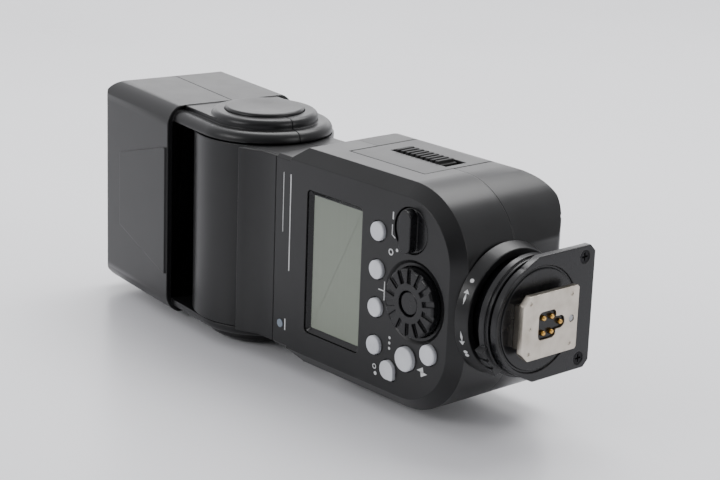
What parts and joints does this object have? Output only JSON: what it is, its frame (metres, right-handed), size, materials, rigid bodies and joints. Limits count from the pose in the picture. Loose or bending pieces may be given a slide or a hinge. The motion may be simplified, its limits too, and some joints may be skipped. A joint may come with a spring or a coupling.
{
  "type": "speedlight flash",
  "caption": "Shoe-mount speedlight flash with a bouncing, swivelling zoom head, display and dial on its back, side battery door and a locking hot-shoe foot, lying on its side.",
  "frame": {"origin": "centre of the object's box on the surface it lies on, with the flash on its left flank", "axes": "+X from the head to the foot, +Y towards the flash's front, away from the control panel, +Z towards the battery door's flank, which is uppermost"},
  "size_m": [0.1948, 0.054, 0.074],
  "materials": {
    "casing_plastic": "fine matte texture",
    "panel_plastic": "satin",
    "gloss_black": "smooth",
    "soft_black": "soft matte",
    "grey_button": "soft matte",
    "display_glass": "clear",
    "display": "pale grey green",
    "lamp": "translucent",
    "nickel": "satin nickel",
    "steel": "turned",
    "gold": "gold flash",
    "bronze": "sintered",
    "circuit_board": "solder mask",
    "cell_jacket": "printed jacket",
    "capacitor_sleeve": "shrink sleeve",
    "red_window": "deep red, translucent",
    "clear_lens": "clear with fine ribs",
    "clear_panel": "frosted",
    "white_card": "matte",
    "mirror_reflector": "bright aluminium",
    "xenon_glass": "clear tube"
  },
  "bodies": {
    "body": {"rear_cover": "panel_plastic", "front_cover": "casing_plastic", "battery_tray": "gloss_black", "battery_cells": "cell_jacket", "tray_contacts": "nickel", "display_window": "display_glass", "display_module": "display", "link_lamp": "lamp", "main_board": "circuit_board", "tact_switches": "gloss_black", "dial_encoder": "gloss_black", "inverter_board": "circuit_board", "main_capacitor": "capacitor_sleeve", "swivel_bearing": "bronze", "af_window": "red_window", "sync_socket": "nickel", "power_socket": "gloss_black", "case_screws": "steel", "foot_base": "gloss_black", "foot_collar": "casing_plastic", "foot_plate": "nickel", "contact_block": "gloss_black", "foot_screws": "steel", "door_pin": "steel"},
    "door": {"battery_door": "casing_plastic", "door_contacts": "nickel"},
    "latch": {"door_latch": "soft_black"},
    "socket_flap": {"socket_cover": "soft_black"},
    "lock": {"lock_ring": "gloss_black"},
    "lock_bolt": {"lock_pin": "steel"},
    "pins": {"contact_pins": "gold"},
    "lever": {"power_lever": "gloss_black"},
    "dial": {"select_dial": "gloss_black"},
    "set": {"set_button": "gloss_black"},
    "function_button_1_body": {"function_button_1": "grey_button"},
    "function_button_2_body": {"function_button_2": "grey_button"},
    "function_button_3_body": {"function_button_3": "grey_button"},
    "function_button_4_body": {"function_button_4": "grey_button"},
    "wireless_button_body": {"wireless_button": "grey_button"},
    "pilot_button_body": {"pilot_button": "grey_button"},
    "mode_button_body": {"mode_button": "grey_button"},
    "neck": {"neck_rear_shell": "casing_plastic", "neck_front_shell": "casing_plastic", "neck_cover": "casing_plastic", "swivel_tube": "steel", "tilt_bushes": "bronze", "tilt_click_spring": "steel"},
    "head": {"head_rear_cover": "casing_plastic", "head_front_cover": "casing_plastic", "hub_caps": "casing_plastic", "tilt_shaft": "steel", "lens_frame": "gloss_black", "fresnel_lens": "clear_lens", "zoom_motor": "steel", "guide_rods": "steel"},
    "carriage": {"zoom_carriage": "mirror_reflector", "flash_tube": "xenon_glass"},
    "screw": {"zoom_screw": "steel"},
    "wide": {"wide_panel": "clear_panel"},
    "card": {"bounce_card": "white_card"}
  },
  "joints": [
    {"name": "swivel", "type": "hinge", "parent": "body", "child": "neck", "pos_m": [-0.00071, -0.005, 0.037], "axis": [-1, 0, 0], "range_deg": [-180, 180]},
    {"name": "tilt", "type": "hinge", "parent": "neck", "child": "head", "pos_m": [-0.02921, -0.005, 0.037], "axis": [0, 0, -1], "range_deg": [-8, 89]},
    {"name": "door_swing", "type": "hinge", "parent": "body", "child": "door", "pos_m": [0.03579, 0.02, 0.0585], "axis": [-1, 0, 0], "range_deg": [0, 68]},
    {"name": "latch_slide", "type": "slide", "parent": "door", "child": "latch", "axis": [1, 0, 0], "range_m": [0, 0.003]},
    {"name": "flap_swing", "type": "hinge", "parent": "body", "child": "socket_flap", "pos_m": [0.03579, 0.0108, 0.0042], "axis": [1, 0, 0], "range_deg": [0, 100], "stiffness_Nm_per_rad": 0.002},
    {"name": "lock_turn", "type": "hinge", "parent": "body", "child": "lock", "pos_m": [0.08829, -0.005, 0.037], "axis": [-1, 0, 0], "range_deg": [0, 60]},
    {"name": "lock_pin_slide", "type": "slide", "parent": "body", "child": "lock_bolt", "axis": [1, 0, 0], "range_m": [0, 0.0015]},
    {"name": "contact_press", "type": "slide", "parent": "body", "child": "pins", "axis": [-1, 0, 0], "range_m": [0, 0.0006], "stiffness_N_per_m": 900},
    {"name": "power_turn", "type": "hinge", "parent": "body", "child": "lever", "pos_m": [0.05879, -0.023, 0.0573], "axis": [0, 1, 0], "range_deg": [0, 40]},
    {"name": "dial_spin", "type": "hinge", "parent": "body", "child": "dial", "pos_m": [0.06129, -0.023, 0.037], "axis": [0, -1, 0], "continuous": true},
    {"name": "set_press", "type": "slide", "parent": "body", "child": "set", "axis": [0, 1, 0], "range_m": [0, 0.0008], "stiffness_N_per_m": 400},
    {"name": "function_button_1_press", "type": "slide", "parent": "body", "child": "function_button_1_body", "axis": [0, 1, 0], "range_m": [0, 0.0008], "stiffness_N_per_m": 400},
    {"name": "function_button_2_press", "type": "slide", "parent": "body", "child": "function_button_2_body", "axis": [0, 1, 0], "range_m": [0, 0.0008], "stiffness_N_per_m": 400},
    {"name": "function_button_3_press", "type": "slide", "parent": "body", "child": "function_button_3_body", "axis": [0, 1, 0], "range_m": [0, 0.0008], "stiffness_N_per_m": 400},
    {"name": "function_button_4_press", "type": "slide", "parent": "body", "child": "function_button_4_body", "axis": [0, 1, 0], "range_m": [0, 0.0008], "stiffness_N_per_m": 400},
    {"name": "wireless_button_press", "type": "slide", "parent": "body", "child": "wireless_button_body", "axis": [0, 1, 0], "range_m": [0, 0.0008], "stiffness_N_per_m": 400},
    {"name": "pilot_button_press", "type": "slide", "parent": "body", "child": "pilot_button_body", "axis": [0, 1, 0], "range_m": [0, 0.0008], "stiffness_N_per_m": 400},
    {"name": "mode_button_press", "type": "slide", "parent": "body", "child": "mode_button_body", "axis": [0, 1, 0], "range_m": [0, 0.0008], "stiffness_N_per_m": 400},
    {"name": "zoom_slide", "type": "slide", "parent": "head", "child": "carriage", "axis": [-0.9903, 0.1392, 0], "range_m": [0, 0.013]},
    {"name": "zoom_screw_turn", "type": "hinge", "parent": "head", "child": "screw", "pos_m": [-0.07404, -0.00779, 0.062], "axis": [-0.9903, 0.1392, 0], "range_deg": [0, 1561]},
    {"name": "wide_panel_pull", "type": "slide", "parent": "head", "child": "wide", "axis": [-0.9903, 0.1392, 0], "range_m": [0, 0.03]},
    {"name": "bounce_card_pull", "type": "slide", "parent": "head", "child": "card", "axis": [-0.9903, 0.1392, 0], "range_m": [0, 0.03]}
  ],
  "couplings": [
    {"joint": "lock_pin_slide", "follows": "lock_turn", "m_per_rad": 0.0014229},
    {"joint": "zoom_screw_turn", "follows": "zoom_slide", "rad_per_m": 2094.4}
  ]
}
